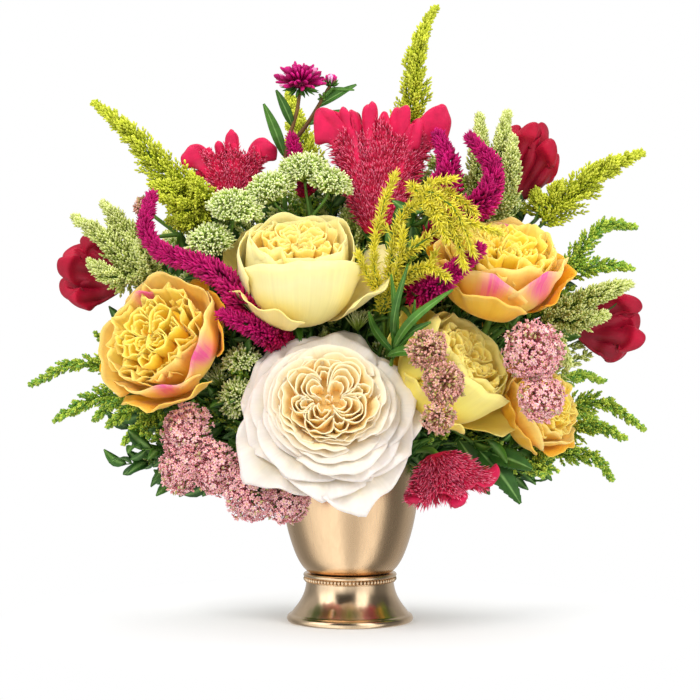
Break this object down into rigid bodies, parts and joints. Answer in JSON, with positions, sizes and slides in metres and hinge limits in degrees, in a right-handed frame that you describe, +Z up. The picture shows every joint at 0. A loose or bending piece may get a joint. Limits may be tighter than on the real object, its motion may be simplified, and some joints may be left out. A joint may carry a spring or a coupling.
{
  "type": "floral centerpiece",
  "caption": "Table centerpiece of roses, cockscomb, plumes and stonecrop in a footed brass vase.",
  "frame": {"origin": "centre of the vase's flat underside, where it stands on the table", "axes": "+Z up along the vase; -Y towards the front of the arrangement; +X to the viewer's right"},
  "size_m": [0.384, 0.2107, 0.3812],
  "materials": {
    "brass_foot": "polished",
    "brass_bowl": "satin",
    "foam": "matt",
    "ivory_petal": "matt",
    "cream_petal": "matt",
    "apricot_petal": "matt",
    "lemon_petal": "matt",
    "aster_petal": "matt",
    "stem": "matt",
    "lime_plume": "matt",
    "frond_green": "matt",
    "pale_green": "matt",
    "magenta_floret": "matt",
    "yellow_floret": "matt",
    "umbel_green": "matt",
    "stonecrop_pink": "matt",
    "crimson_crest": "matt",
    "velvet_crest": "velvety"
  },
  "bodies": {
    "root": {"vase_foot": "brass_foot", "vase_collar": "brass_foot", "vase_bowl": "brass_bowl", "foam": "foam", "white_rose_bloom": "ivory_petal", "cream_rose_bloom": "cream_petal", "apricot_rose_left_bloom": "apricot_petal", "apricot_rose_right_bloom": "apricot_petal", "yellow_rose_bloom": "lemon_petal", "small_apricot_rose_bloom": "apricot_petal", "back_white_rose_bloom": "ivory_petal", "back_cream_rose_bloom": "cream_petal", "back_apricot_rose_bloom": "apricot_petal", "aster_head": "aster_petal", "aster_bud": "aster_petal", "white_rose_stem": "stem", "cream_rose_stem": "stem", "apricot_rose_left_stem": "stem", "apricot_rose_right_stem": "stem", "yellow_rose_stem": "stem", "small_apricot_rose_stem": "stem", "back_white_rose_stem": "stem", "back_cream_rose_stem": "stem", "back_apricot_rose_stem": "stem", "lime_plume_left": "lime_plume", "lime_plume_top": "lime_plume", "lime_plume_right": "lime_plume", "lime_plume_back": "lime_plume", "green_frond_left": "frond_green", "green_frond_low_right": "frond_green", "green_frond_right": "frond_green", "green_frond_back_right": "frond_green", "green_frond_back_left": "frond_green", "pale_panicle_left": "pale_green", "pale_panicle_top": "pale_green", "pale_panicle_right": "pale_green", "pale_panicle_back": "pale_green", "magenta_spike_left": "magenta_floret", "magenta_spike_upper": "magenta_floret", "magenta_spike_hooked": "magenta_floret", "magenta_spike_low": "magenta_floret", "magenta_spike_small": "magenta_floret", "magenta_spike_back": "magenta_floret", "yellow_drooping_spray": "yellow_floret", "green_umbel_left": "umbel_green", "green_umbel_top": "umbel_green", "green_umbel_low": "umbel_green", "green_umbel_back": "umbel_green", "stonecrop_left": "stonecrop_pink", "stonecrop_front": "stonecrop_pink", "stonecrop_right": "stonecrop_pink", "stonecrop_back": "stonecrop_pink", "crimson_cockscomb_top": "crimson_crest", "crimson_cockscomb_left": "crimson_crest", "crimson_cockscomb_low": "crimson_crest", "crimson_cockscomb_back": "crimson_crest", "velvet_cockscomb_left": "velvet_crest", "velvet_cockscomb_top": "velvet_crest", "velvet_cockscomb_right": "velvet_crest", "aster_stem": "stem"}
  },
  "joints": []
}
